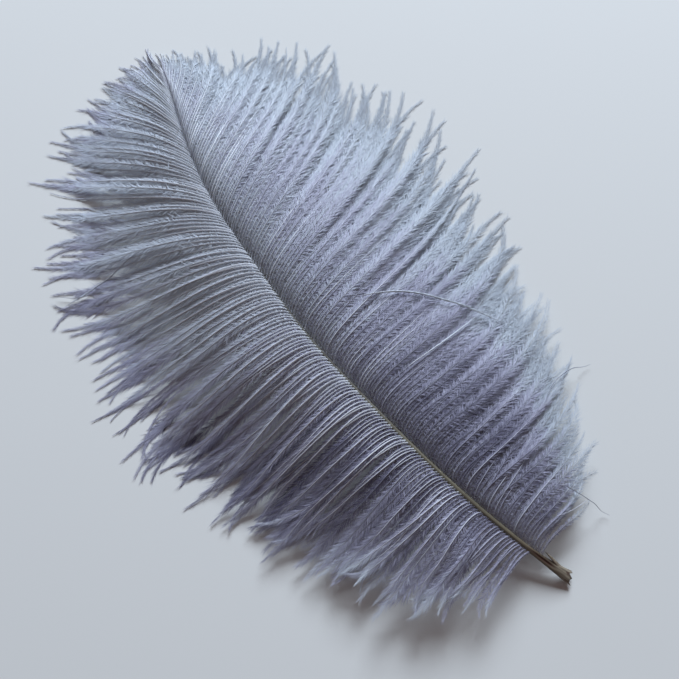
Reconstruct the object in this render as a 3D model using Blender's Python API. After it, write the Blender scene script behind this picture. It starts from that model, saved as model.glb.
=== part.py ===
"""A dyed ostrich plume lying on its edges.

It grew as one piece, so it is one solid: a curved shaft, thick at the bare quill and thin at the
tip, with a broad vane on each side. Each vane is a thin arched sheet whose outer half parts into
pointed locks. Row frame: +Y from the quill's end to the tip, +X over the longer right vane, +Z up.
"""
import math
import random

import bmesh
import bpy
import numpy as np

MM = 0.001

# The shaft, by distance along it from the quill's cut end (all lengths in mm, angles in degrees)
QUILL_END = (7.05, -92.67)
SHAFT_LENGTH = 184.0
SHAFT_HEADING = [(0, 24), (25, 13.4), (50, 8), (75, 5), (95, -1), (125, -4), (145, -13), (172, -19),
                 (184, -10)]
SHAFT_HEIGHT = [(0, 1.2), (8, 3.7), (20, 6.5), (40, 8.6), (80, 9.4), (120, 8.4), (150, 6.6), (172, 4.2),
                (184, 2.6)]
SHAFT_RADIUS = [(0, 1.0), (10, 0.85), (20, 0.8), (60, 0.7), (120, 0.55), (184, 0.3)]
SHAFT_RINGS = 62
QUILL_FLARE_LENGTH = 9.0
QUILL_FLARE_WIDTH = 1.75
QUILL_FLARE_DEPTH = 0.7
QUILL_FRAY = 0.9

# The vanes, by distance along the shaft
VANE_END = 183.0
LOCKS_A_SIDE = 36
ROOT_INSET = 0.35
LEFT_VANE = {
    "side": 1,
    "start": 10.0,
    "length": [(10, 16), (18, 25), (30, 32), (48, 41.5), (66, 47.5), (92, 53.5), (122, 53), (138, 48),
               (148, 42), (156, 35), (161, 29), (165, 25), (170, 18.5), (176, 11), (184, 4)],
    "root_angle": [(10, 50), (24, 32), (40, 27), (184, 27)],
    "end_angle": [(10, 104), (30, 99), (60, 94), (85, 83), (105, 70), (130, 58), (150, 48), (158, 43),
                  (167, 31), (176, 20), (184, 14)],
    "bend": 6.0,
    "back_curl": [(10, 0), (145, 0), (168, -12), (184, -12)],
    "end_height": [(10, 5.0), (32, 4.8), (52, 2.2), (72, 0), (184, 0)],
}
RIGHT_VANE = {
    "side": -1,
    "start": 7.0,
    "length": [(7, 20), (13, 28), (24, 40), (36, 53), (54, 64), (72, 73.5), (92, 77), (116, 76),
               (130, 67), (144, 50.5), (158, 34), (170, 20), (178, 10.5), (184, 5.5)],
    "root_angle": [(7, 66), (16, 46), (30, 27), (184, 25)],
    "end_angle": [(7, 118), (20, 104), (40, 91), (70, 82), (100, 72), (125, 60), (145, 49), (165, 38),
                  (184, 12)],
    "bend": 6.5,
    "back_curl": [(7, -9), (184, -9)],
    "end_height": [(7, 4.6), (40, 3), (68, 0), (184, 0)],
}
ARCH = 0.7
ARCH_PER_LENGTH = 0.05
SHEET_AT_EDGES = 0.7
SHEET_SWELL = 1.0
LOCK_RIDGE = 0.55
LOCK_STEPS = (0, 0.035, 0.075, 0.13, 0.21, 0.32, 0.46, 0.62, 0.79, 0.92, 1)
LOCK_SEED = 11


def smooth(knots, at):
    """A smooth curve through (place, value) knots, level beyond the two ends."""
    places = np.array([k[0] for k in knots], float)
    values = np.array([k[1] for k in knots], float)
    slopes = np.gradient(values, places)
    at = np.clip(np.asarray(at, float), places[0], places[-1])
    i = np.clip(np.searchsorted(places, at, side="right") - 1, 0, len(places) - 2)
    gap = places[i + 1] - places[i]
    t = (at - places[i]) / gap
    ends = values[i] * (2 * t**3 - 3 * t**2 + 1) + values[i + 1] * (3 * t**2 - 2 * t**3)
    return ends + gap * (slopes[i] * (t**3 - 2 * t**2 + t) + slopes[i + 1] * (t**3 - t**2))


def walk(steps, headings):
    """X and Y along a path from its steps and its headings, which are degrees left of +Y."""
    middle = np.radians((headings[1:] + headings[:-1]) / 2)
    x = np.concatenate([[0], np.cumsum(-np.sin(middle) * steps)])
    y = np.concatenate([[0], np.cumsum(np.cos(middle) * steps)])
    return x, y


FINE = np.linspace(0, SHAFT_LENGTH, 369)
FINE_X, FINE_Y = walk(np.diff(FINE), smooth(SHAFT_HEADING, FINE))
FINE_X, FINE_Y = FINE_X + QUILL_END[0], FINE_Y + QUILL_END[1]


def shaft_point(along):
    return np.array([np.interp(along, FINE, FINE_X), np.interp(along, FINE, FINE_Y),
                     smooth(SHAFT_HEIGHT, along)])


def barb_line(vane, along, reach, lean):
    """Points down the middle of the sheet from the shaft outwards, where a barb rooted here would lie."""
    steps = np.array(LOCK_STEPS)
    fine = np.linspace(0, 1, 121)
    out = fine * reach
    root, end = smooth(vane["root_angle"], along), smooth(vane["end_angle"], along)
    curl = smooth(vane["back_curl"], along) + lean
    turn = end - (end - root) * np.exp(-out / vane["bend"]) + curl * fine**2
    headings = smooth(SHAFT_HEADING, along) + vane["side"] * turn
    x, y = walk(np.diff(out), headings)
    x, y = np.interp(steps, fine, x), np.interp(steps, fine, y)
    base = shaft_point(along)
    across = math.radians(float(smooth(SHAFT_HEADING, along)))
    inset = vane["side"] * ROOT_INSET * float(smooth(SHAFT_RADIUS, along))
    base[0] -= inset * math.cos(across)
    base[1] -= inset * math.sin(across)
    low = float(smooth(vane["end_height"], along))
    fall = (1 + np.cos(math.pi * steps)) / 2
    arch = (ARCH + ARCH_PER_LENGTH * reach) * np.sin(math.pi * steps**0.55) * np.sqrt(1 - steps)
    z = low + (base[2] - low) * fall + arch
    return np.stack([base[0] + x, base[1] + y, z], axis=1)


def lock_columns(vane):
    """The sheet's columns: notch, tip, notch, tip ... as (place, reach, lean, ridge sign)."""
    rng = random.Random(LOCK_SEED + vane["side"])
    widths = [rng.uniform(0.65, 1.35) for _ in range(LOCKS_A_SIDE)]
    unit = (VANE_END - vane["start"]) / sum(widths)
    columns = []
    start = vane["start"]
    for k, width in enumerate(widths):
        notch = rng.uniform(0.8, 0.92)
        tip = rng.uniform(0.94, 1.03)
        lean = rng.uniform(-6, 6)
        middle = start + width * unit / 2
        columns.append((start, notch * float(smooth(vane["length"], start)), 0, -1))
        columns.append((middle, tip * float(smooth(vane["length"], middle)), lean, 1))
        start += width * unit
    columns.append((VANE_END, 0.8 * float(smooth(vane["length"], VANE_END)), 0, -1))
    return columns


def make_material(name, colour, roughness):
    material = bpy.data.materials.new(name)
    material.use_nodes = True
    shader = material.node_tree.nodes["Principled BSDF"]
    shader.inputs["Base Color"].default_value = (*colour, 1)
    shader.inputs["Roughness"].default_value = roughness
    shader.inputs["Metallic"].default_value = 0
    return material


def make_vane(name, vane, collection):
    """An arched sheet with a ridge along each lock and its outer edge in points."""
    columns = lock_columns(vane)
    rows = len(LOCK_STEPS)
    bpy.ops.mesh.primitive_grid_add(x_subdivisions=len(columns) - 1, y_subdivisions=rows - 1, size=1)
    sheet = bpy.context.active_object
    sheet.name = name
    mesh = bmesh.new()
    mesh.from_mesh(sheet.data)
    under = list(mesh.verts)
    key = {}
    for vert in under:
        column = round((vert.co.x + 0.5) * (len(columns) - 1))
        row = round((vert.co.y + 0.5) * (rows - 1))
        key[vert] = (column, row)
    raised = bmesh.ops.extrude_face_region(mesh, geom=list(mesh.faces), use_keep_orig=True)
    over = [item for item in raised["geom"] if isinstance(item, bmesh.types.BMVert)]
    twin = {(round(v.co.x, 5), round(v.co.y, 5)): key[v] for v in under}
    place = {v: twin[(round(v.co.x, 5), round(v.co.y, 5))] for v in over}
    lines = [barb_line(vane, along, reach, lean) for along, reach, lean, _ in columns]
    for verts, keys, top in ((under, key, False), (over, place, True)):
        for vert in verts:
            column, row = keys[vert]
            step = LOCK_STEPS[row]
            x, y, z = lines[column][row]
            swell = min(1.0, max(0.0, (step - 0.12) / 0.45))
            z += columns[column][3] * LOCK_RIDGE * swell
            half = (SHEET_AT_EDGES + SHEET_SWELL * math.sin(math.pi * step**0.7)) / 2
            floor = max(z - half, 0)
            vert.co = (x * MM, y * MM, (max(z + half, floor + SHEET_AT_EDGES) if top else floor) * MM)
    bmesh.ops.recalc_face_normals(mesh, faces=mesh.faces)
    mesh.to_mesh(sheet.data)
    mesh.free()
    for holder in sheet.users_collection:
        holder.objects.unlink(sheet)
    collection.objects.link(sheet)
    return sheet


def make_shaft(collection):
    """A tapering tube along the shaft's path, pressed flat and frayed at the quill's end."""
    curve = bpy.data.curves.new("shaft_path", "CURVE")
    curve.dimensions = "3D"
    curve.bevel_depth = MM
    curve.bevel_resolution = 2
    curve.use_fill_caps = True
    spline = curve.splines.new("POLY")
    spline.points.add(SHAFT_RINGS - 1)
    share = np.linspace(0, 1, SHAFT_RINGS)
    places = SHAFT_LENGTH * (0.35 * share + 0.65 * share**1.5)
    for point, along in zip(spline.points, places):
        point.co = (*(shaft_point(along) * MM), 1)
        point.radius = float(smooth(SHAFT_RADIUS, along))
    path = bpy.data.objects.new("shaft_path", curve)
    collection.objects.link(path)
    bpy.context.view_layer.update()
    solid = bpy.data.meshes.new_from_object(path.evaluated_get(bpy.context.evaluated_depsgraph_get()))
    mesh = bmesh.new()
    mesh.from_mesh(solid)
    bmesh.ops.remove_doubles(mesh, verts=mesh.verts, dist=MM * 0.01)
    heading = math.radians(SHAFT_HEADING[0][1])
    ahead = np.array([-math.sin(heading), math.cos(heading)])
    across = np.array([math.cos(heading), math.sin(heading)])
    for vert in mesh.verts:
        flat = np.array([vert.co.x, vert.co.y]) / MM - QUILL_END
        along = float(flat @ ahead)
        if along > QUILL_FLARE_LENGTH:
            continue
        share = 1 - max(along, 0) / QUILL_FLARE_LENGTH
        side = float(flat @ across)
        centre = float(smooth(SHAFT_HEIGHT, max(along, 0)))
        wide = side * (1 + (QUILL_FLARE_WIDTH - 1) * share)
        along -= QUILL_FRAY * share**3 * (0.5 + 0.5 * math.cos(5 * wide))
        vert.co.x, vert.co.y = (QUILL_END + ahead * along + across * wide) * MM
        vert.co.z = (centre + (vert.co.z / MM - centre) * (1 + (QUILL_FLARE_DEPTH - 1) * share)) * MM
    bmesh.ops.recalc_face_normals(mesh, faces=mesh.faces)
    mesh.to_mesh(solid)
    mesh.free()
    shaft = bpy.data.objects.new("feather", solid)
    collection.objects.link(shaft)
    bpy.data.objects.remove(path)
    return shaft


def fuse(body, part):
    """Join a vane into the body it grows from."""
    union = body.modifiers.new("grown_together", "BOOLEAN")
    union.operation = "UNION"
    union.solver = "EXACT"
    union.object = part
    bpy.context.view_layer.update()
    joined = bpy.data.meshes.new_from_object(body.evaluated_get(bpy.context.evaluated_depsgraph_get()))
    body.modifiers.clear()
    body.data = joined
    bpy.data.objects.remove(part)


def main():
    for item in list(bpy.data.objects):
        bpy.data.objects.remove(item)
    collection = bpy.data.collections.new("ostrich_feather")
    bpy.context.scene.collection.children.link(collection)
    feather = make_shaft(collection)
    fuse(feather, make_vane("left_vane", LEFT_VANE, collection))
    fuse(feather, make_vane("right_vane", RIGHT_VANE, collection))
    feather.data.materials.clear()
    feather.data.materials.append(make_material("dyed plume", (0.19, 0.21, 0.29), 0.85))
    feather.data.set_sharp_from_angle(angle=math.radians(50))


main()
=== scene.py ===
import math
import random

import bmesh
import bpy
import numpy as np
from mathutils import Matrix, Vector


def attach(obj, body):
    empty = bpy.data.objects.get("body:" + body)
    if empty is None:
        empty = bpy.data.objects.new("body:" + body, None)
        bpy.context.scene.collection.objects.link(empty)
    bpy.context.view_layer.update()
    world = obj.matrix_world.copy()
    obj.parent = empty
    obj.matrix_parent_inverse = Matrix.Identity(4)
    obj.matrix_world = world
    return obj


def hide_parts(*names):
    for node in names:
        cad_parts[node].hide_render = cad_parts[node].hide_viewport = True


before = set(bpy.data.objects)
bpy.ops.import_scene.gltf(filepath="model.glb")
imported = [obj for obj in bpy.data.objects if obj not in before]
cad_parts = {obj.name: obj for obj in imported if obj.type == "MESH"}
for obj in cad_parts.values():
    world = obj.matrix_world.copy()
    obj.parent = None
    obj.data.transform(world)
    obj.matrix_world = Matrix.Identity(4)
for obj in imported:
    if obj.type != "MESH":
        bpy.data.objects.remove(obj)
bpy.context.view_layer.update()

bpy.ops.object.select_all(action="DESELECT")


# ---- The quill -------------------------------------------------------------------------------
# One long keratin shaft, cut off and frayed at the bare end, thinning to a hair at the tip. The
# dye has hardly taken on it, so it stays olive horn. The barbs of both vanes grow from its sides.

# Sizes are in mm and degrees. Knots are (mm along the shaft from the cut end, value).
MM = 0.001
QUILL_END = (7.05, -92.67)
SHAFT_LENGTH = 184.0
SHAFT_HEADING = [(0, 24), (25, 13.4), (50, 8), (75, 5), (95, -1), (125, -4), (145, -13), (172, -19),
                 (184, -10)]
SHAFT_HEIGHT = [(0, 1.2), (8, 3.7), (20, 6.5), (40, 8.6), (80, 9.4), (120, 8.4), (150, 6.6),
                (172, 4.2), (184, 2.6)]
QUILL_RADIUS = [(0, 0.95), (4, 0.8), (9, 0.74), (20, 0.72), (45, 0.58), (80, 0.42), (120, 0.3),
                (180, 0.06)]
QUILL_LENGTH = 180.0
QUILL_SIDES, QUILL_RINGS = 28, 260
RINGS_EVEN, RINGS_CROWDED = 0.25, 1.6     # the rings stand closest together at the cut end
FLARE_LENGTH, FLARE_WIDTH, FLARE_DEPTH = 10.0, 1.7, 0.7
RIB_COUNT, RIB_HEIGHT = 7, 0.05
FRAY, HOLLOW, SLANT = 1.3, 1.1, 0.35
GROOVE = {"from": 3.0, "to": 12.5, "turn": 1.75, "width": 0.5, "depth": 0.5}
PITH_STAIN, SPECK_STAIN, SPECKS_TO = 0.9, 0.7, 0.9


def smooth(knots, at):
    """A smooth curve through (place, value) knots, level beyond the two ends."""
    places = np.array([k[0] for k in knots], float)
    values = np.array([k[1] for k in knots], float)
    slopes = np.gradient(values, places)
    at = np.clip(np.asarray(at, float), places[0], places[-1])
    i = np.clip(np.searchsorted(places, at, side="right") - 1, 0, len(places) - 2)
    gap = places[i + 1] - places[i]
    t = (at - places[i]) / gap
    ends = values[i] * (2 * t**3 - 3 * t**2 + 1) + values[i + 1] * (3 * t**2 - 2 * t**3)
    return ends + gap * (slopes[i] * (t**3 - 2 * t**2 + t) + slopes[i + 1] * (t**3 - t**2))


def swell(low, high, value):
    """0 below low, 1 above high and a soft slope between."""
    t = np.clip((value - low) / (high - low), 0, 1)
    return t * t * (3 - 2 * t)


def unit(vectors):
    return vectors / np.linalg.norm(vectors, axis=-1, keepdims=True)


def walk(steps, headings):
    """X and Y along paths from their steps and their headings, which are degrees left of +Y."""
    middle = np.radians((headings[..., 1:] + headings[..., :-1]) / 2)
    x = np.cumsum(-np.sin(middle) * steps, axis=-1)
    y = np.cumsum(np.cos(middle) * steps, axis=-1)
    start = np.zeros(x.shape[:-1] + (1,))
    return np.concatenate([start, x], axis=-1), np.concatenate([start, y], axis=-1)


FINE = np.linspace(0, SHAFT_LENGTH, 369)
FINE_X, FINE_Y = walk(np.diff(FINE), smooth(SHAFT_HEADING, FINE))
FINE_X, FINE_Y = FINE_X + QUILL_END[0], FINE_Y + QUILL_END[1]


def shaft_point(along):
    return np.stack([np.interp(along, FINE, FINE_X), np.interp(along, FINE, FINE_Y),
                     smooth(SHAFT_HEIGHT, along)], axis=-1)


def shaft_frame(along):
    """The shaft's place and its unit vectors ahead, to the right and up, at places along it."""
    centre = shaft_point(along)
    ahead = unit(shaft_point(along + 0.2) - shaft_point(along - 0.2))
    right = unit(np.cross(ahead, [0, 0, 1.0]))
    return centre, ahead, right, np.cross(right, ahead)


def linear(code):
    """An sRGB hex colour as linear red, green, blue and alpha."""
    parts = [int(code[i:i + 2], 16) / 255 for i in (1, 3, 5)]
    return [p / 12.92 if p <= 0.04045 else ((p + 0.055) / 1.055) ** 2.4 for p in parts] + [1.0]


def add_node(material, kind, links=(), tones=(), **settings):
    """Adds a shader node. Settings are its properties or input values, links are its (input,
    output socket) pairs and tones a ramp's (place, hex colour) stops."""
    node = material.node_tree.nodes.new(kind)
    for name, value in settings.items():
        if name in node.inputs and not hasattr(type(node), name):
            node.inputs[name].default_value = value
        else:
            setattr(node, name, value)
    for name, socket in links:
        material.node_tree.links.new(socket, node.inputs[name])
    stops = node.color_ramp.elements if tones else []
    while len(stops) < len(tones):
        stops.new(0.5)
    for stop, (place, code) in zip(stops, tones):
        stop.position, stop.color = place, linear(code)
    return node


def wear_uv(item, uvs):
    """Gives a piece its own map, one place for each corner of its faces."""
    layer = item.data.uv_layers.new(name="OFBake")
    layer.data.foreach_set("uv", np.asarray(uvs, np.float32).ravel())


def mark(item, name, values):
    """A number at each point of a piece, for its material to read."""
    layer = item.data.attributes.new(name, "FLOAT", "POINT")
    layer.data.foreach_set("value", np.asarray(values, np.float32))


def mesh_points(item):
    points = np.empty(3 * len(item.data.vertices), np.float32)
    item.data.vertices.foreach_get("co", points)
    return points.reshape(-1, 3).astype(float)


def corner_numbers(item):
    """The point number and the face number at each corner."""
    corners = np.empty(len(item.data.loops), np.int32)
    item.data.loops.foreach_get("vertex_index", corners)
    sizes = np.empty(len(item.data.polygons), np.int32)
    item.data.polygons.foreach_get("loop_total", sizes)
    return corners, np.repeat(np.arange(len(sizes)), sizes)


def upright_rod(name, sides, rings):
    """A closed rod one unit long and two across, with rings of points to shape it by."""
    bpy.ops.mesh.primitive_cylinder_add(vertices=sides, radius=1, depth=1, location=(0, 0, 0.5),
                                        end_fill_type="TRIFAN", calc_uvs=False)
    rod = bpy.context.active_object
    rod.name = name
    bpy.ops.object.transform_apply(location=True)
    bpy.ops.object.mode_set(mode="EDIT")
    bpy.ops.mesh.select_all(action="DESELECT")
    for edge in bmesh.from_edit_mesh(rod.data).edges:
        edge.select_set(abs(edge.verts[0].co.z - edge.verts[1].co.z) > 0.5)
    bpy.ops.mesh.subdivide_edgering(number_cuts=rings, interpolation="LINEAR", smoothness=0)
    bpy.ops.object.mode_set(mode="OBJECT")
    return rod


def wrap_map(rod, points, rise):
    """Maps a shaped rod from its upright points: round it along u, their rise (0 to 1) along v."""
    turn = np.arctan2(points[:, 1], points[:, 0])
    spoke = np.hypot(points[:, 0], points[:, 1])
    corners, faces = corner_numbers(rod)
    middle = np.zeros((len(rod.data.polygons), 2))
    np.add.at(middle, faces, points[corners, :2])
    face_turn = np.arctan2(middle[:, 1], middle[:, 0])[faces]
    hub = spoke[corners] < 0.5
    beside = (turn[corners] - face_turn + math.pi) % (2 * math.pi) - math.pi
    u = 0.5 + 0.96 * (face_turn + np.where(hub, 0, beside)) / (2 * math.pi + 0.3)
    v = np.where(hub, np.where(rise[corners] < 0.5, 0.005, 0.998), 0.03 + 0.96 * rise[corners])
    wear_uv(rod, np.stack([u, v], axis=-1))


quill = upright_rod("quill", QUILL_SIDES, QUILL_RINGS)
points = mesh_points(quill)
share, turn = points[:, 2], np.arctan2(points[:, 1], points[:, 0])
spoke = np.hypot(points[:, 0], points[:, 1])
pith = (spoke < 0.5) & (share < 0.5)
along = QUILL_LENGTH * (RINGS_EVEN * share + (1 - RINGS_EVEN) * share**RINGS_CROWDED)
centre, ahead, right, up = shaft_frame(along)
flare = np.clip(1 - along / FLARE_LENGTH, 0, 1)
radius = smooth(QUILL_RADIUS, along) * spoke
groove = swell(GROOVE["from"], GROOVE["from"] + 3, along)
groove = groove * (1 - swell(GROOVE["to"] - 5, GROOVE["to"], along))
groove = GROOVE["depth"] * groove * np.exp(-((turn - GROOVE["turn"]) / GROOVE["width"]) ** 2)
ribs = 1 + RIB_HEIGHT * flare * np.sin(RIB_COUNT * turn + 2 * np.sin(along)) - groove
wide = radius * ribs * np.cos(turn) * (1 + (FLARE_WIDTH - 1) * flare**1.3)
tall = radius * ribs * np.sin(turn) * (1 + (FLARE_DEPTH - 1) * flare)
# the cut slants and breaks up in splinters, with the pith sunk between them
splinters = np.cos(4.2 * wide + 0.6) + 0.5 * np.sin(9 * turn + 1) + 0.3 * np.sin(14 * turn)
fray = FRAY * flare**6 * (0.5 + 0.3 * splinters) - SLANT * wide * flare**6
fray = np.where(pith, -HOLLOW, fray)
placed = centre + right * wide[:, None] + up * tall[:, None] - ahead * fray[:, None]
quill.data.vertices.foreach_set("co", (placed * MM).astype(np.float32).ravel())
quill.data.flip_normals()
specks = (np.sin(5 * turn + 2) + np.sin(11 * turn) > 0.6) * (along < SPECKS_TO)
stain = np.clip(groove / GROOVE["depth"] * 1.3, 0, 1)
mark(quill, "stain", stain + np.where(pith, PITH_STAIN, SPECK_STAIN * specks))
mark(quill, "run", along / QUILL_LENGTH)
wrap_map(quill, points, np.sqrt(along / QUILL_LENGTH))
quill.data.shade_smooth()

# Keratin horn, cleaned, bleached and dipped in dye: satin, with fine lengthwise streaks. The
# dried pith shows dark and speckled at the cut and in the groove. Where the vanes begin the map
# is 5.1 mm round and drawn as if 84 mm long, and streaks there are 0.17 mm apart and 12 mm long.
HORN_TONES = [(0.0, "#9a8f7f"), (0.02, "#8f8472"), (0.05, "#7b6d5b"), (0.1, "#7f7764"),
              (0.25, "#8d8775"), (0.5, "#8f8d86"), (1.0, "#9aa2b0")]
STREAKS_ROUND, STREAKS_ALONG = 5.1 / 0.17, 84 / 12
HORN_ROUGHNESS, KERATIN_IOR = 0.45, 1.55
horn = bpy.data.materials.new("dyed keratin horn")
horn.use_nodes = True
place = add_node(horn, "ShaderNodeUVMap", uv_map="OFBake")
drawn = add_node(horn, "ShaderNodeMapping", [("Vector", place.outputs["UV"])],
                 Scale=(STREAKS_ROUND, STREAKS_ALONG, 1.0))
streak = add_node(horn, "ShaderNodeTexNoise", [("Vector", drawn.outputs["Vector"])], Scale=1.0,
                  Detail=4.0, Roughness=0.6)
run = add_node(horn, "ShaderNodeAttribute", attribute_name="run")
tone = add_node(horn, "ShaderNodeValToRGB", [("Fac", run.outputs["Fac"])], HORN_TONES)
dark = add_node(horn, "ShaderNodeValToRGB", [("Fac", streak.outputs["Fac"])],
                [(0.3, "#8c8c8c"), (0.62, "#ffffff")])
shade = add_node(horn, "ShaderNodeMix", [("A", tone.outputs["Color"]), ("B", dark.outputs["Color"])],
                 data_type="RGBA", blend_type="MULTIPLY", Factor=1.0)
stain = add_node(horn, "ShaderNodeAttribute", attribute_name="stain")
stained = add_node(horn, "ShaderNodeMix",
                   [("Factor", stain.outputs["Fac"]), ("A", shade.outputs["Result"])],
                   data_type="RGBA", B=linear("#43261c"))
shader = horn.node_tree.nodes["Principled BSDF"]
horn.node_tree.links.new(stained.outputs["Result"], shader.inputs["Base Color"])
shader.inputs["Roughness"].default_value = HORN_ROUGHNESS
shader.inputs["IOR"].default_value = KERATIN_IOR
quill.data.materials.append(horn)
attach(quill, "root")
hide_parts("feather")


# ---- The quill's torn flap -------------------------------------------------------------------
# A splinter of the quill's own wall, torn loose above the bare end. It is still joined at the
# cut, and its thin free point stands up.

FLAP_PATH = [(7.0, -91.6, 1.6), (6.86, -90.6, 2.0), (6.49, -88.66, 2.8), (6.14, -86.94, 3.6),
             (5.71, -85.01, 4.4)]
FLAP_WIDTH = [(0, 0.75), (0.3, 0.62), (0.7, 0.38), (1, 0.04)]
FLAP_THICKNESS = 0.14
FLAP_SIDES, FLAP_RINGS = 12, 30
FLAP_STAIN, FLAP_RUN = 0.75, 0.03
flap = upright_rod("quill_flap", FLAP_SIDES, FLAP_RINGS)
points = mesh_points(flap)
path = np.array(FLAP_PATH)
passed = np.concatenate([[0], np.cumsum(np.linalg.norm(np.diff(path, axis=0), axis=1))])
passed = passed / passed[-1]


def flap_point(share):
    return np.stack([smooth(list(zip(passed, path[:, axis])), share) for axis in range(3)], axis=-1)


ahead = unit(flap_point(points[:, 2] + 0.01) - flap_point(points[:, 2] - 0.01))
right = unit(np.cross(ahead, [0.5, 0.2, 1.0]))
wide = smooth(FLAP_WIDTH, points[:, 2])
tall = np.minimum(FLAP_THICKNESS, wide)
placed = flap_point(points[:, 2]) + right * (wide * points[:, 0])[:, None]
placed += np.cross(right, ahead) * (tall * points[:, 1])[:, None]
flap.data.vertices.foreach_set("co", (placed * MM).astype(np.float32).ravel())
flap.data.flip_normals()
mark(flap, "stain", FLAP_STAIN * swell(0.1, 0.9, -points[:, 0]) * swell(0.15, 0.4, points[:, 2]))
mark(flap, "run", np.full(len(points), FLAP_RUN))
wrap_map(flap, points, points[:, 2])
flap.data.shade_smooth()
flap.data.materials.append(horn)
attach(flap, "root")
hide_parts("feather")


# ---- The two vanes ---------------------------------------------------------------------------
# Some 175 soft barbs grow from each side of the shaft about a millimetre apart and bend outwards.
# Each carries two rows of loose barbules that hook on nothing, so barbs cling in strands and the
# strands gather a little in locks at the edge. All of it is keratin, bleached and dyed.

# Along the shaft each vane has these knots. length, root_angle, end_angle, back_curl and end_height
# shape its barbs. dye is how deep their colour is. root_painted_shading adds to it at the shaft:
# painted shade where it is above 0, painted light where it is below. end_dye_and_painted_light adds
# to it at the edge: deeper dye where above 0, painted light where below. stem_dye_and_highlight is
# the stems' own tone until they sink in the down, seen mm out, and its lowest numbers are a painted
# highlight. thick is the stems' thickness. bright is the share of barbs that ride on top, painted
# paler as a highlight, and cross how far those stray. loose is how freely strands lie. spread is how
# far barbules stand off their barb, relief how far their shading turns.
VANE_END = 180.0
LEFT_VANE = {
    "name": "left_vane", "side": 1, "start": 10.0, "pieces": 3, "bend": 2.7,
    "length": [(10, 19), (18, 27), (31, 35), (48, 40.5), (60, 44.5), (70, 48.5), (82, 53),
               (95, 54.5), (110, 54), (125, 51.5), (141, 44), (151, 38), (158, 32.5), (163, 27.5),
               (167, 24), (172, 18.5), (176, 15), (180, 11)],
    "root_angle": [(10, 52), (40, 45), (100, 47), (150, 40), (166, 30), (180, 18)],
    "end_angle": [(10, 90), (25, 93), (45, 90), (65, 91), (85, 87), (105, 78), (120, 60),
                  (135, 46), (150, 38), (163, 24), (172, 15), (180, 8)],
    "back_curl": [(10, -8), (50, -6), (90, 4), (120, 3), (145, 18), (165, 5), (180, -12)],
    "end_height": [(10, 6.2), (26, 5.8), (40, 3.6), (56, 1.4), (72, 0), (184, 0)],
    "dye": [(0, 0.44), (25, 0.54), (45, 0.72), (60, 0.66), (75, 0.48), (90, 0.28), (110, 0.05),
            (184, 0.0)],
    "root_painted_shading": [(0, 0.35), (60, 0.25), (100, 0.12), (184, 0.2)], "root_reach": 11.0,
    "end_dye_and_painted_light": [(0, 0.0), (50, 0.0), (75, 0.38), (95, 0.58), (125, 0.55), (150, 0.45), (184, 0.3)],
    "stem_dye_and_highlight": [(0, 0.95), (22, 0.85), (45, 0.2), (100, -0.15), (150, 0.1), (184, 0.5)],
    "seen": [(0, 5), (70, 7), (110, 14), (184, 16)],
    "thick": [(0, 0.4), (22, 0.5), (45, 0.85), (70, 1.15), (120, 1.1), (184, 1.0)],
    "bright": [(10, 0.4), (25, 0.4), (40, 0.45), (90, 0.4), (130, 0.3), (180, 0.2)],
    "cross": [(0, 6), (70, 6), (120, 2), (184, 1)],
    "loose": [(0, 1.0), (75, 0.85), (110, 0.4), (184, 0.25)],
    "spread": [(0, 1.0), (90, 1.1), (120, 1.3), (184, 1.3)],
    "relief": [(0, 0.45), (184, 0.3)],
    "new_strand": 0.5, "tufts": 0.07, "sleek": 0.5, "contrast": 0.75, "lock_lean": 0.2,
}
RIGHT_VANE = {
    "name": "right_vane", "side": -1, "start": 7.0, "pieces": 4, "bend": 2.7,
    "length": [(7, 19), (13, 29), (24, 42), (37, 50.5), (56, 59), (74, 67.5), (94, 74), (106, 74),
               (118, 71.5), (132, 60), (146, 43.5), (160, 28.5), (170, 18.5), (176, 13.5),
               (180, 10.5)],
    "root_angle": [(7, 66), (16, 56), (40, 45), (100, 47), (150, 38), (166, 24), (180, 10)],
    "end_angle": [(7, 107), (20, 96), (40, 96), (60, 92), (80, 82), (100, 68), (120, 57),
                  (140, 45), (155, 30), (168, 19), (180, 8)],
    "back_curl": [(7, -6), (40, -24), (75, -12), (105, -14), (135, -8), (160, -14), (180, -20)],
    "end_height": [(7, 4.6), (40, 3), (68, 0), (184, 0)],
    "dye": [(0, 0.7), (45, 0.8), (75, 0.55), (105, 0.42), (140, 0.4), (184, 0.36)],
    "root_painted_shading": [(0, -0.35), (35, -0.25), (60, 0.0), (100, -0.2), (184, -0.2)], "root_reach": 5.0,
    "end_dye_and_painted_light": [(0, -0.7), (45, -0.8), (75, -0.55), (105, -0.42), (140, -0.4), (184, -0.36)],
    "stem_dye_and_highlight": [(0, 0.95), (40, 0.8), (80, 0.4), (120, 0.15), (150, 0.35), (184, 0.6)],
    "seen": [(0, 3), (70, 5), (110, 7), (184, 9)],
    "thick": [(0, 0.4), (40, 0.5), (80, 0.7), (120, 0.9), (184, 0.9)],
    "bright": [(7, 0.25), (50, 0.18), (100, 0.12), (184, 0.1)],
    "cross": [(0, 7), (50, 6), (100, 3), (184, 1)],
    "loose": [(0, 0.8), (50, 0.5), (110, 0.2), (184, 0.12)],
    "spread": [(0, 1.1), (70, 1.1), (110, 1.35), (184, 1.35)],
    "relief": [(0, 0.4), (70, 0.3), (110, 0.15), (184, 0.15)],
    "new_strand": 0.75, "tufts": 0.08, "sleek": 0.4, "contrast": 0.6, "lock_lean": 0.08,
}
FULL_LENGTH = 30.0                        # shorter barbs carry shorter barbules and lie closer
BARB_PITCH = [(7, 0.85), (60, 0.9), (120, 1.03), (180, 1.15)]
PITCH_JITTER = 0.16
LENGTH_MEAN, LENGTH_SPREAD, LENGTH_LIMITS = 0.96, 0.06, (0.75, 1.06)
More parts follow.
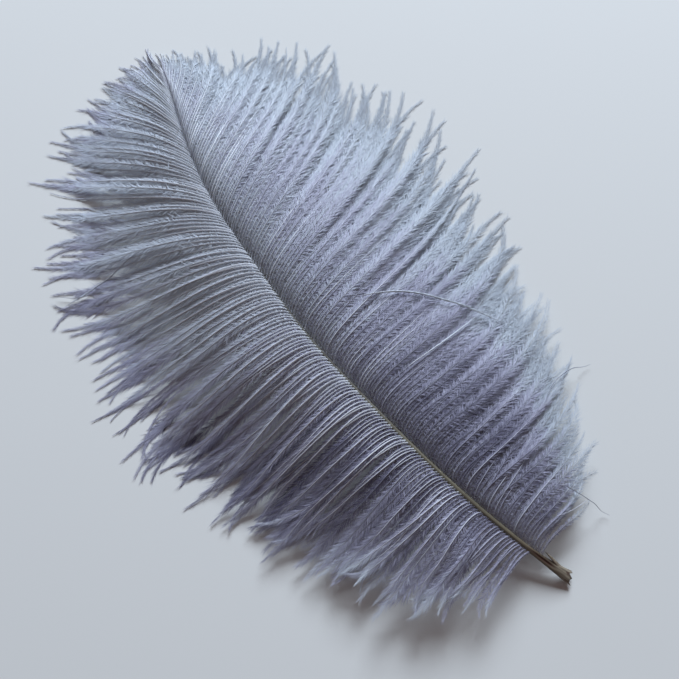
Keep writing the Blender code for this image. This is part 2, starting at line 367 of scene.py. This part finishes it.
ONTO_SHAFT = (80, 140)                    # the barbs' roots climb from its sides onto its top
ARCH, ARCH_PER_LENGTH = 0.7, 0.05
STEPS = np.linspace(0, 1, 27) ** 1.35
FINE_STEPS = np.linspace(0, 1, 161)

# The locks are the solid's own, drawn from the same seed
SOLID_VANE_END = 183
LOCKS_A_SIDE = 36
LOCK_SEED = 11
LOCK_WIDTHS, LOCK_NOTCHES, LOCK_TIPS, LOCK_LEANS = (0.65, 1.35), (0.8, 0.92), (0.94, 1.03), (-6, 6)
LOCK_ROUNDING = 0.3

MESS_ENDS = (25, 70)                      # the barbs lie in disorder near the quill's bare end
LEAST_LOOSE = 0.15
STRAND_STRAY, BARB_STRAY = 2.2, 2.0
MESSY_SWING, PALE_SWING, SWING_REACH = 5, 4, 5
END_FRIZZ = 22
CLING, GATHER = 0.5, 0.1
BARB_LIFT, STRAND_LIFT, PALE_LIFT = 0.2, 0.35, 0.9
RIPPLES = [(6.5, 0.12), (11, 0.2), (19, 0.25), (34, 0.3)]
WANDER, WANDER_WAVES, WANDER_SHARE = 0.4, (5, 12), [1.0, 1.0, 0.45]
LOWEST_BARB, LOWEST_BARBULE = 0.25, 0.05
EVENNESS = 0.8                            # how far the vane's shading is levelled
STRAND_SWAY, BARB_SWAY = 0.07, 0.05
STRAND_TONE, STEM_TONE, BARBULE_TONE = 0.08, 0.1, 0.09
END_CLOSED = 0.4
# shares of barb ends painted paler: painted light for tips that render in shade
PAINTED_LIGHT_ENDS, PAINTED_LIGHT_MESSY_ENDS = 0.2, 0.3
STEM_RADIUS = [(0, 0.13), (5, 0.18), (15, 0.17), (32, 0.09), (80, 0.06)]
STEM_TAPER, STEM_DEPTH, STEM_DEPTH_REACH = 0.7, 1.1, 14

# Barbules are drawn wider and fewer than real ones, to keep the number of triangles down
BARBULE_GAP = 0.137
BARBULE_LENGTH = [(0, 1.2), (3, 1.3), (7, 1.8), (13, 2.6), (20, 3.3), (80, 3.8)]
BARBULE_SPREAD = [(0, 58), (5, 48), (14, 31), (80, 23)]
BARBULE_ROLL = [(0, -40), (5, -36), (10, -28), (16, -20), (80, -10)]
BARBULE_WIDTH, BARBULE_THICKNESS = 0.12, 0.03
WIDEST_AT = 0.45
SPREAD_NOISE, ROLL_NOISE = 7, 12
BUNDLE_LENGTH, BUNDLE_SPREAD, BUNDLE_ROLL = 1.1, 6, 9
FLUFF, MESSY_FLUFF, FLUFF_ENDS = 8.0, 12, (45, 100)


def barb_lines(vane, along, length, lean, swing=0.0, frizz=0.0):
    """Where barbs rooted at these places lie, as points at STEPS of their length."""
    out = FINE_STEPS * length[:, None]
    root = smooth(vane["root_angle"], along)[:, None]
    end = smooth(vane["end_angle"], along)[:, None]
    curl = (smooth(vane["back_curl"], along) + lean)[:, None]
    turn = end - (end - root) * np.exp(-out / vane["bend"]) + curl * FINE_STEPS**2
    turn = turn + np.reshape(swing, (-1, 1)) * (1 - np.exp(-out / SWING_REACH))
    turn = turn + np.reshape(frizz, (-1, 1)) * FINE_STEPS**7
    heading = smooth(SHAFT_HEADING, along)[:, None]
    x, y = walk(np.diff(out, axis=1), heading + vane["side"] * turn)
    x = np.stack([np.interp(STEPS, FINE_STEPS, row) for row in x])
    y = np.stack([np.interp(STEPS, FINE_STEPS, row) for row in y])
    base = shaft_point(along)
    radius, onto = smooth(QUILL_RADIUS, along), swell(*ONTO_SHAFT, along)
    base[:, 2] += 0.9 * radius * onto
    inset = vane["side"] * 0.5 * radius * (1 - onto)
    across = np.radians(heading[:, 0])
    base[:, 0] -= inset * np.cos(across)
    base[:, 1] -= inset * np.sin(across)
    low = smooth(vane["end_height"], along)[:, None]
    fall = (1 + np.cos(math.pi * STEPS)) / 2
    arch = np.sin(math.pi * STEPS**0.55) * np.sqrt(1 - STEPS)
    arch = (ARCH + ARCH_PER_LENGTH * length[:, None]) * arch
    z = low + (base[:, 2:] - low) * fall + arch
    return np.stack([base[:, :1] + x, base[:, 1:2] + y, z], axis=-1)


def vane_locks(vane):
    """Each lock's middle, half width, notch and tip length shares and lean, as in the solid."""
    rng = random.Random(LOCK_SEED + vane["side"])
    widths = [rng.uniform(*LOCK_WIDTHS) for _ in range(LOCKS_A_SIDE)]
    unit_width = (SOLID_VANE_END - vane["start"]) / sum(widths)
    rows = []
    start = vane["start"]
    for width in widths:
        notch, tip = rng.uniform(*LOCK_NOTCHES), rng.uniform(*LOCK_TIPS)
        lean = rng.uniform(*LOCK_LEANS)
        rows.append((start + width * unit_width / 2, width * unit_width / 2, notch, tip, lean))
        start += width * unit_width
    return np.array(rows)


def ripple(rng, along, waves):
    """A smooth random height over the vane, from waves of (length along the shaft, height)."""
    total = 0
    for length, height in waves:
        phase, slant = rng.uniform(0, 6.28), rng.uniform(-2.5, 2.5)
        crest = 2 * math.pi * along[:, None] / length + slant * STEPS * 2 + phase
        total = total + height * np.sin(crest)
    return total


def lay_barbs(vane):
    """The vane's barbs as lines drawn together in strands and locks, with their looks."""
    rng = np.random.default_rng(LOCK_SEED * 7 + vane["side"])
    spots = np.linspace(vane["start"], VANE_END, 700)
    passed = np.cumsum(np.gradient(spots) / smooth(BARB_PITCH, spots))
    count = int(passed[-1])
    along = np.interp(np.arange(count) + 1, passed, spots)
    along = along + rng.uniform(-PITCH_JITTER, PITCH_JITTER, count)
    locks = vane_locks(vane)
    owner = np.abs(along[:, None] - locks[:, 0]).argmin(axis=1)
    off = np.clip((along - locks[owner, 0]) / locks[owner, 1], -1, 1)
    notch, tip = locks[owner, 2], locks[owner, 3]
    length = smooth(vane["length"], along) * (tip - (tip - notch) * LOCK_ROUNDING * np.abs(off)**1.5)
    length = length * np.clip(rng.normal(LENGTH_MEAN, LENGTH_SPREAD, count), *LENGTH_LIMITS)

    # a few barbs at a time cling together in a strand, and each strand leans its own way
    strand = np.cumsum(rng.random(count) < vane["new_strand"])
    strands = strand[-1] + 1
    loose = smooth(vane["loose"], along)
    messy = 1 - swell(*MESS_ENDS, along)
    # some barbs ride on top of the others, a few of them across, and are painted paler, a painted
    # highlight for the light they catch
    bright = (rng.random(count) < smooth(vane["bright"], along)) * rng.uniform(0.5, 1.0, count)
    stray = rng.normal(0, STRAND_STRAY, strands)[strand] * (1 + 2 * messy)
    stray = stray + rng.normal(0, BARB_STRAY, count)
    stray = stray + bright * rng.normal(0, smooth(vane["cross"], along))
    freedom = np.clip(LEAST_LOOSE + loose, 0, 1)
    lean = locks[owner, 4] * vane["lock_lean"] + stray * freedom
    swing = rng.normal(0, 1, count) * (MESSY_SWING * messy + PALE_SWING * bright * loose)
    frizz = rng.normal(0, END_FRIZZ, count)
    lines = barb_lines(vane, along, length, lean, swing, frizz)
    cling = rng.uniform(0.0, CLING, strands)[strand] * freedom
    means = np.stack([lines[strand == k].mean(axis=0) if (strand == k).any() else lines[0]
                      for k in range(strands)])
    pull = (cling * (1 - 0.8 * bright))[:, None] * swell(0.1, 0.5, STEPS)
    pull = pull * (1 - 0.85 * swell(0.65, 1.0, STEPS))
    lines += pull[..., None] * (means[strand] - lines)
    lock_lengths = smooth(vane["length"], locks[:, 0]) * locks[:, 3]
    middle = barb_lines(vane, locks[:, 0], lock_lengths, locks[:, 4])
    gather = rng.uniform(0.0, GATHER, len(locks))[owner][:, None] * swell(0.6, 0.95, STEPS)
    gather = gather * np.clip(length / FULL_LENGTH - 0.5, 0, 1)[:, None]
    lines += gather[..., None] * (middle[owner] - lines)

    # strands ride above or below their neighbours, crowned along their middles
    crown = swell(0.06, 0.4, STEPS) * (1 - 0.55 * STEPS)
    loose = (loose * np.clip(length / FULL_LENGTH, 0, 1))[:, None]
    contrast = vane["contrast"]
    lift = rng.normal(0, BARB_LIFT, count)[:, None]
    lift = lift + rng.normal(0, STRAND_LIFT, strands)[strand][:, None] * contrast
    lift = lift + ripple(rng, along, RIPPLES)
    lines[..., 2] += (lift + PALE_LIFT * bright[:, None]) * crown * loose
    # and every barb wanders a little on its own
    wander = rng.normal(0, WANDER, (count, 2, 3))
    phase = rng.uniform(0, 6.28, (count, 2))
    for wave, turns in enumerate(WANDER_WAVES):
        swing = np.sin(phase[:, wave, None] + STEPS * turns) * swell(0.15, 1.0, STEPS) / (1 + wave)
        swing = (swing * np.sqrt(loose) * (1 + 0.8 * STEPS**2))[..., None]
        lines += swing * wander[:, wave, None] * WANDER_SHARE
    lines[..., 2] = np.maximum(lines[..., 2], LOWEST_BARB)

    # which way the vane faces along them
    sheet = barb_lines(vane, along, smooth(vane["length"], along), 0.0)
    beside = np.gradient(sheet, axis=0)
    facing = np.cross(np.gradient(sheet, axis=1), beside)
    facing = unit(unit(facing) * np.sign(facing[..., 2:]) + [0, 0, EVENNESS])
    sway = rng.normal(0, STRAND_SWAY, strands)[strand] + rng.normal(0, BARB_SWAY, count)
    facing = unit(facing + unit(beside) * (sway * contrast)[:, None, None])

    dye = smooth(vane["dye"], along)[:, None]
    # towards the edge: on the left vane deeper dye, on the right vane painted light that brings the
    # edge to the palest tone, for light coming through thin fluff over the paper
    dye = dye + smooth(vane["end_dye_and_painted_light"], along)[:, None] * swell(0.35, 0.95, STEPS)
    dye = dye + rng.normal(0, STRAND_TONE, strands)[strand][:, None] * contrast
    out = STEPS * length[:, None]
    # painted shade next to the shaft, for the shade in the groove between the vanes, and painted
    # light where the knots fall below 0
    root_painted_shading = smooth(vane["root_painted_shading"], along)[:, None] * np.exp(-out / vane["root_reach"])

    # the down lies close on some strands from about half way, like a wet brush, on the first
    # half of the pale barbs and on every barb's end
    closed = (rng.random(strands) < vane["tufts"])[strand] * rng.uniform(0.5, 1.0, count)
    from_here = rng.uniform(0.45, 0.8, strands)[strand][:, None]
    closed = closed[:, None] * swell(from_here, from_here + 0.25, STEPS)
    sleek = vane["sleek"] * bright[:, None] * swell(5, 11, out) * (1 - swell(0.5, 0.8, STEPS))
    closed = np.maximum(np.maximum(closed, sleek), END_CLOSED * swell(0.75, 1.0, STEPS))

    # stems sink in the down and take its tone, darker at their ends, but pale ones stay in sight: the
    # stems of barbs riding on top are painted paler, a painted highlight
    plain = 1 - bright[:, None]
    seen = smooth(vane["seen"], along)[:, None]
    sunk = swell(seen, 2.2 * seen, out) * plain
    stem_dye_and_highlight = smooth(vane["stem_dye_and_highlight"], along)[:, None] * (1 - sunk) + (dye + 0.1) * sunk
    stem_dye_and_highlight = stem_dye_and_highlight + 0.3 * swell(0.75, 0.95, STEPS) * plain
    stem_dye_and_highlight = stem_dye_and_highlight + rng.normal(0, STEM_TONE, count)[:, None] - 0.3 * bright[:, None]
    # some barb ends, more near the quill's bare end, are painted paler: painted light for tips that
    # render in shade
    painted_light_end = (rng.random(count) < PAINTED_LIGHT_ENDS + PAINTED_LIGHT_MESSY_ENDS * messy)[:, None]
    painted_light_end = painted_light_end * swell(0.65, 0.95, STEPS) * (1 + messy[:, None])
    # the down is painted paler at the painted-light ends and, as a painted highlight, on the barbs
    # that ride on top
    return {"lines": lines, "length": length, "facing": facing, "closed": closed,
            "dye": dye - 0.15 * painted_light_end - 0.15 * bright[:, None] * loose + root_painted_shading,
            "stem_dye_and_highlight": stem_dye_and_highlight - 0.5 * painted_light_end,
            "thick": smooth(vane["thick"], along) * (0.8 + 0.6 * bright),
            "fluff": MESSY_FLUFF * (1 - swell(*FLUFF_ENDS, along)) * (1 - bright),
            "spread": smooth(vane["spread"], along), "relief": smooth(vane["relief"], along)}


def barb_frames(barbs):
    """Unit vectors ahead, across and up along each barb."""
    ahead = unit(np.gradient(barbs["lines"], axis=1))
    across = unit(np.cross(ahead, barbs["facing"]))
    return ahead, across, np.cross(across, ahead)


def tube_triangles(rings, sides):
    """Triangles of a closed tube whose points run ring by ring."""
    ring, side = np.meshgrid(np.arange(rings - 1), np.arange(sides), indexing="ij")
    a, b = ring * sides + side, ring * sides + (side + 1) % sides
    walls = np.stack([a, b, b + sides, a, b + sides, a + sides], axis=-1).reshape(-1, 3)
    fan = np.arange(1, sides - 1)
    last = (rings - 1) * sides
    start = np.stack([np.zeros_like(fan), fan + 1, fan], axis=-1)
    end = np.stack([np.full_like(fan, last), last + fan, last + fan + 1], axis=-1)
    return np.concatenate([walls, start, end])


def barb_stems(barbs, share, room):
    """The barbs' own stems: three-sided tapering tubes, like blades on edge near the shaft."""
    lines = barbs["lines"]
    ahead, across, upright = barb_frames(barbs)
    count, steps = lines.shape[:2]
    out = STEPS * barbs["length"][:, None]
    wide = smooth(STEM_RADIUS, out) * (1 - STEM_TAPER * STEPS**3) * barbs["thick"][:, None]
    tall = wide * (1 + STEM_DEPTH * np.exp(-out / STEM_DEPTH_REACH))
    points, normals = [], []
    for turn in (math.pi / 2, math.pi * 7 / 6, math.pi * 11 / 6):
        rise, reach = math.sin(turn), math.cos(turn)
        points.append(lines + upright * (rise * tall)[..., None] - across * (reach * wide)[..., None])
        normals.append(unit(upright * (rise * wide)[..., None] - across * (reach * tall)[..., None]))
    points, normals = np.stack(points, axis=2), np.stack(normals, axis=2)
    triangles = tube_triangles(steps, 3) + np.arange(count)[:, None, None] * steps * 3
    triangles = triangles.reshape(-1, 3)
    u = share[:, None, None] + room * np.array([-0.4, 0.0, 0.4])
    v = np.broadcast_to(STEPS[:, None] * 0.98 + 0.01 + np.array([0, 0.003, 0]), (count, steps, 3))
    uvs = np.stack(np.broadcast_arrays(u, v), axis=-1)
    dye = np.repeat(barbs["stem_dye_and_highlight"], 3, axis=1)
    return (points.reshape(-1, 3), triangles, uvs.reshape(-1, 2), normals.reshape(-1, 3)[triangles],
            dye.ravel())


def barbules(barbs, share, room, rng):
    """Flat thin needles in two rows along each barb, four faces each. The fluff is lit as round
    tufts: each needle's normals lean to its own side of the barb."""
    lines, length = barbs["lines"], barbs["length"]
    out = STEPS * length[:, None]
    rate = (0.6 + 0.4 * swell(2, 8, out)) / BARBULE_GAP
    grown = np.cumsum((rate[:, 1:] + rate[:, :-1]) / 2 * np.diff(out, axis=1), axis=1)
    grown = np.concatenate([np.zeros((len(lines), 1)), grown], axis=1)
    number = np.round(grown[:, -1]).astype(int)
    owner = np.repeat(np.arange(len(lines)), 2 * number)
    order = np.concatenate([np.arange(2 * n) for n in number])
    rank, side = order // 2, np.where(order % 2 == 0, 1.0, -1.0)
    total = len(owner)
    ranks = np.split(rank + rng.uniform(0, 1, total), np.cumsum(2 * number)[:-1])
    place = np.concatenate([np.interp(own, steps, STEPS) for own, steps in zip(ranks, grown)])
    place = 0.012 + 0.985 * place
    spot = np.interp(place, STEPS, np.arange(len(STEPS)))
    low = np.minimum(spot.astype(int), len(STEPS) - 2)
    part = (spot - low)[:, None]

    def at(values):
        return values[owner, low] * (1 - part) + values[owner, low + 1] * part

    ahead, across, upright = barb_frames(barbs)
    base, t, b, n = at(lines), at(ahead), at(across), at(upright)
    out = place * length[owner]
    ending = swell(0.75, 1.0, place)
    # neighbours on one side cling in small bundles that swing together
    phase = rng.uniform(0, 6.28, (len(lines), 2, 3))[owner, (side > 0).astype(int)]
    bundle = 2 * math.pi * out / (BUNDLE_LENGTH * rng.uniform(0.8, 1.4, len(lines))[owner])
    shut = at(barbs["closed"][..., None])[:, 0]
    size = smooth(BARBULE_LENGTH, out) * (1 - 0.6 * shut) * rng.uniform(0.65, 1.2, total)
    size *= np.clip((length[owner] / FULL_LENGTH) ** 1.4, 0.15, 1) * (1 - 0.35 * ending)
    size *= 1 + 0.1 * np.sin(bundle * 0.6 + phase[:, 2])
    spread = smooth(BARBULE_SPREAD, out) + barbs["fluff"][owner]
    spread = spread + rng.normal(0, SPREAD_NOISE, total)
    spread = spread + BUNDLE_SPREAD * np.sin(bundle + phase[:, 0]) - 8 * swell(0.7, 1.0, place)
    spread = np.radians(spread * (1 - 0.55 * shut) * barbs["spread"][owner])
    roll = smooth(BARBULE_ROLL, out) + rng.normal(0, ROLL_NOISE, total)
    roll = np.radians(roll + BUNDLE_ROLL * np.sin(bundle * 0.7 + phase[:, 1]))
    sideways = b * (side * np.cos(roll))[:, None] + n * np.sin(roll)[:, None]
    aim = t * np.cos(spread)[:, None] + sideways * np.sin(spread)[:, None]

    thick = n * (BARBULE_THICKNESS / 2)
    half = BARBULE_WIDTH / 2 * rng.uniform(0.8, 1.25, total)
    half = half * (1 - 0.68 * swell(0.6, 1.0, place)) * (1.3 - 0.3 * swell(8, 20, out))
    half = unit(np.cross(aim, n)) * half[:, None]
    middle = base + aim * (WIDEST_AT * size)[:, None] + thick
    points = np.stack([base - thick, middle + half, middle - half,
                       base + aim * size[:, None] - thick], axis=1)
    points[..., 2] = np.maximum(points[..., 2], LOWEST_BARBULE)
    one, two, three = (points[:, k] - points[:, 0] for k in (1, 2, 3))
    flip = np.einsum("ij,ij->i", np.cross(one, two), three) < 0
    points[flip, 1], points[flip, 2] = points[flip, 2].copy(), points[flip, 1].copy()

    relief = barbs["relief"][owner]
    tilt = np.clip(np.radians(FLUFF) - 0.3 * roll, -0.4, 1.0) + rng.normal(0, 0.12, total)
    tilt = tilt * relief
    soft = n * np.cos(tilt)[:, None] + b * (side * np.sin(tilt))[:, None]
    soft = unit(soft + t * (rng.normal(0, 0.12, total) * relief)[:, None])
    faces = np.array([(0, 2, 1), (0, 1, 3), (1, 2, 3), (2, 0, 3)])
    corner, second, third = (points[:, faces[:, k]] for k in range(3))
    up = np.sign(np.einsum("ijk,ik->ij", np.cross(second - corner, third - corner), soft))
    up = np.where(up == 0, 1, up)
    normals = soft[:, None, None] * up[:, :, None, None] * np.ones((1, 1, 3, 1))

    triangles = faces + 4 * np.arange(total)[:, None, None]
    patch = np.array([(-0.18, -0.35), (0.18, -0.35), (-0.18, 0.35), (0.18, 0.35)])
    u = share[owner][:, None] + room * (0.22 * side[:, None] + patch[:, 0])
    v = 0.02 + 0.96 * (rank[:, None] + 0.5 + patch[:, 1]) / number[owner][:, None]
    dye = at(barbs["dye"][..., None])[:, 0] + rng.normal(0, BARBULE_TONE, total)
    return (points.reshape(-1, 3), triangles.reshape(-1, 3), np.stack([u, v], axis=-1).reshape(-1, 2),
            normals.reshape(-1, 3, 3), np.repeat(dye, 4))


def new_mesh(name, parts):
    """A piece from (points in mm, triangles, map places, corner normals, dye), one for each
    material."""
    points = np.concatenate([p[0] for p in parts])
    firsts = np.cumsum([0] + [len(p[0]) for p in parts])
    triangles = np.concatenate([p[1] + first for p, first in zip(parts, firsts)])
    uvs = np.concatenate([p[2] for p in parts])
    normals = np.concatenate([p[3] for p in parts])
    slots = np.repeat(np.arange(len(parts)), [len(p[1]) for p in parts])
    mesh = bpy.data.meshes.new(name)
    mesh.vertices.add(len(points))
    mesh.vertices.foreach_set("co", (points * MM).astype(np.float32).ravel())
    mesh.loops.add(3 * len(triangles))
    mesh.loops.foreach_set("vertex_index", triangles.astype(np.int32).ravel())
    mesh.polygons.add(len(triangles))
    mesh.polygons.foreach_set("loop_start", np.arange(0, 3 * len(triangles), 3, dtype=np.int32))
    mesh.polygons.foreach_set("material_index", slots.astype(np.int32))
    mesh.update(calc_edges=True)
    item = bpy.data.objects.new(name, mesh)
    bpy.context.scene.collection.objects.link(item)
    wear_uv(item, uvs[triangles.ravel()])
    mark(item, "dye", np.concatenate([p[4] for p in parts]))
    mesh.normals_split_custom_set(normals.reshape(-1, 3))
    return item


# The dye has taken unevenly, in patches about 2.2 mm along the shaft and 23 mm out. A piece of
# vane is 48 mm along it and 46 mm deep on average, some narrower and some wider.
TONE_PATCHES = (48.4 / 2.2, 46 / 23, 1.0)
TONE_CHANGE = -0.45                       # how much nearer the palest tone a patch can be


def plume_material(name, tones, roughness):
    """Bleached keratin in tones from pale to deep, as deep at each point as its dye says. That number
    also carries painted shade and painted light.
    """
    material = bpy.data.materials.new(name)
    material.use_nodes = True
    place = add_node(material, "ShaderNodeUVMap", uv_map="OFBake")
    patches = add_node(material, "ShaderNodeMapping", [("Vector", place.outputs["UV"])],
                       Scale=TONE_PATCHES)
    change = add_node(material, "ShaderNodeTexNoise", [("Vector", patches.outputs["Vector"])],
                      Scale=1.0, Detail=2.0)
    dye = add_node(material, "ShaderNodeAttribute", attribute_name="dye")
    depth = add_node(material, "ShaderNodeMath",
                     [(0, change.outputs["Fac"]), (2, dye.outputs["Fac"])], operation="MULTIPLY_ADD")
    depth.inputs[1].default_value = TONE_CHANGE
    colour = add_node(material, "ShaderNodeValToRGB", [("Fac", depth.outputs["Value"])], tones)
    shader = material.node_tree.nodes["Principled BSDF"]
    material.node_tree.links.new(colour.outputs["Color"], shader.inputs["Base Color"])
    shader.inputs["Roughness"].default_value = roughness
    shader.inputs["IOR"].default_value = KERATIN_IOR
    return material


# The barbs' stems are solid horn, bleached and dyed: satin. Their palest tone is a painted highlight,
# near white where they catch light.
STEM_TONES_WITH_HIGHLIGHT = [(0, "#e8ebf2"), (0.6, "#9291a6"), (1.0, "#5c5a6e")]
STEM_ROUGHNESS = 0.35
stem_finish_with_highlight = plume_material("dyed barb stem with painted highlight", STEM_TONES_WITH_HIGHLIGHT, STEM_ROUGHNESS)

# The barbules are finer than hair, bleached and dyed: soft, with hardly a shine
DOWN_TONES = [(0, "#bcc5d1"), (0.3, "#a9a9c0"), (0.75, "#5b5873"), (1.0, "#3c3950")]
DOWN_ROUGHNESS = 0.65
down_finish = plume_material("dyed barbule down", DOWN_TONES, DOWN_ROUGHNESS)

# The left vane's barbules are painted a shade paler than the right's: painted light for the left
# vane's slope away from the lamp and its self-shadow. As soft.
LEFT_DOWN_TONES_PAINTED_LIGHTER = [(0, "#d0d8e4"), (0.3, "#b6b6cd"), (0.75, "#625f7c"), (1.0, "#3c3950")]
left_down_painted_lighter = plume_material("dyed barbule down painted lighter", LEFT_DOWN_TONES_PAINTED_LIGHTER, DOWN_ROUGHNESS)

vane_points = []
for vane, down in ((LEFT_VANE, left_down_painted_lighter), (RIGHT_VANE, down_finish)):
    barbs = lay_barbs(vane)
    vane_points.append(barbs["lines"].reshape(-1, 3))
    rng = np.random.default_rng(LOCK_SEED * 13 + vane["side"])
    work = np.cumsum(barbs["length"])
    shares = np.arange(vane["pieces"]) / vane["pieces"]
    cuts = [*np.searchsorted(work, work[-1] * shares), len(work)]
    for k, (first, last) in enumerate(zip(cuts, cuts[1:])):
        part = {name: values[first:last] for name, values in barbs.items()}
        room = 1 / (last - first)
        share = (np.arange(last - first) + 0.5) * room
        piece = new_mesh(f"{vane['name']}_{k + 1}", [barb_stems(part, share, room),
                                                     barbules(part, share, room, rng)])
        piece.data.materials.append(stem_finish_with_highlight)
        piece.data.materials.append(down)
        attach(piece, "root")
        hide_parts("feather")
vane_points = np.concatenate(vane_points)


# ---- The loose barbs -------------------------------------------------------------------------
# A few barbs have come out of their strands: one long one and a bare hair lie across the right
# vane, and single ends stick out past the edges. They are like the others, with thinner down.

# each one's way over the vane, how far its down is closed and its stem's dye, the lowest numbers
# painted pale as a highlight
LOOSE_BARBS = [
    ([(7.7, -8.6), (17.8, -13.0), (26.1, -21.1), (30.3, -26.6), (36.9, -36.9)], 0.9, 0.0),
    ([(5.6, -30.6), (18.4, -29.8), (30.6, -28.6)], 0.9, 0.1),
    ([(31.0, -55.6), (34.4, -54.2), (39.6, -53.7), (47.0, -55.4)], 1.0, 1.0),
    ([(19.5, -76.0), (21.1, -79.3), (22.9, -83.6), (25.1, -87.7)], 1.0, 0.7),
    ([(-33.0, 38.2), (-37.0, 38.3), (-45.9, 38.6), (-54.0, 38.9)], 0.9, 0.5),
    ([(-47.0, 37.6), (-50.6, 39.2), (-54.7, 42.5)], 0.9, 0.5),
    ([(12.6, -80.2), (16.6, -81.3), (22.6, -81.7)], 0.85, 0.5),
]
LOOSE_DYE, LOOSE_THICK = 0.1, 0.55
LOOSE_CLEARANCE, LOOSE_NEAR, LOOSE_FLOOR = 0.5, 2.5, 0.3
lines, lengths = [], []
for path, _, _ in LOOSE_BARBS:
    path = np.array(path)
    passed = np.concatenate([[0], np.cumsum(np.hypot(*np.diff(path, axis=0).T))])
    lengths.append(passed[-1])
    flat = [smooth(list(zip(passed, path[:, axis])), STEPS * passed[-1]) for axis in (0, 1)]
    apart = np.hypot(*(vane_points[:, None, :2] - np.stack(flat, axis=-1)).transpose(2, 0, 1))
    height = np.where(apart < LOOSE_NEAR, vane_points[:, None, 2], LOOSE_FLOOR).max(axis=0)
    height = height + LOOSE_CLEARANCE
    for _ in range(6):
        height = np.convolve(np.pad(height, 1, mode="edge"), [0.25, 0.5, 0.25], mode="valid")
    lines.append(np.stack([*flat, height], axis=-1))
even = np.ones(len(LOOSE_BARBS))
all_along = np.ones((len(LOOSE_BARBS), len(STEPS)))
loose = {"lines": np.stack(lines), "length": np.array(lengths),
         "facing": all_along[..., None] * [0, 0, 1.0], "dye": LOOSE_DYE * all_along,
         "closed": all_along * [[shut] for _, shut, _ in LOOSE_BARBS],
         "stem_dye_and_highlight": all_along * [[tone] for _, _, tone in LOOSE_BARBS],
         "thick": LOOSE_THICK * even, "fluff": 0 * even, "spread": even, "relief": even}
room = 1 / len(even)
share = (np.arange(len(even)) + 0.5) * room
rng = np.random.default_rng(LOCK_SEED)
loose_barbs = new_mesh("loose_barbs", [barb_stems(loose, share, room),
                                       barbules(loose, share, room, rng)])
loose_barbs.data.materials.append(stem_finish_with_highlight)
loose_barbs.data.materials.append(down_finish)
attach(loose_barbs, "root")
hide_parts("feather")


# ---- The table, the light and the camera -----------------------------------------------------
# A plain pale sheet of matt paper, one broad cool light low down beyond the tip, a little warm
# light from the room, and the photo's own view.

FLOOR_SIZE = 4.0
FLOOR_ROUGHNESS = 0.9
bpy.ops.mesh.primitive_plane_add(size=FLOOR_SIZE, location=(0, 0, 0))
floor = bpy.context.active_object
floor.name = "floor"
paper = bpy.data.materials.new("pale paper")
paper.use_nodes = True
shader = paper.node_tree.nodes["Principled BSDF"]
shader.inputs["Base Color"].default_value = linear("#e2e3e2")
shader.inputs["Roughness"].default_value = FLOOR_ROUGHNESS
floor.data.materials.append(paper)

CAMERA_AZIMUTH, CAMERA_ELEVATION, CAMERA_DISTANCE, CAMERA_VIEW = -36.23, 70.0, 258.5, 38.0
AIM = (-1.09, -11.27, 0)
turn, rise = math.radians(CAMERA_AZIMUTH), math.radians(CAMERA_ELEVATION)
back = np.array([math.sin(turn) * math.cos(rise), -math.cos(turn) * math.cos(rise),
                 math.sin(rise)])
bpy.ops.object.camera_add(location=(AIM + back * CAMERA_DISTANCE) * MM,
                          rotation=(math.radians(90 - CAMERA_ELEVATION), 0, turn))
camera = bpy.context.active_object
camera.data.lens = camera.data.sensor_width / 2 / math.tan(math.radians(CAMERA_VIEW / 2))
camera.data.clip_start, camera.data.clip_end = 0.01, 10
bpy.context.scene.camera = camera

LIGHT_TURN, LIGHT_ELEVATION = 9.0, 30.0
LIGHT_DISTANCE, LIGHT_SIZE, LIGHT_POWER = 1.6, 0.69, 42.0
LIGHT_COLOUR = (0.79, 0.89, 1.0)
ROOM_COLOUR, ROOM_STRENGTH = (1.0, 0.77, 0.74, 1), 0.115
away, lift = turn - math.radians(LIGHT_TURN), math.radians(LIGHT_ELEVATION)
toward = Vector((-math.sin(away) * math.cos(lift), math.cos(away) * math.cos(lift),
                 math.sin(lift)))
bpy.ops.object.light_add(type="AREA", location=toward * LIGHT_DISTANCE)
key = bpy.context.active_object
key.data.size = LIGHT_SIZE
key.data.energy = LIGHT_POWER
key.data.color = LIGHT_COLOUR
key.rotation_euler = toward.to_track_quat("Z", "Y").to_euler()
world = bpy.data.worlds.new("room")
world.use_nodes = True
sky = world.node_tree.nodes["Background"]
sky.inputs["Color"].default_value = ROOM_COLOUR
sky.inputs["Strength"].default_value = ROOM_STRENGTH
bpy.context.scene.world = world
bpy.context.scene.view_settings.view_transform = "Standard"
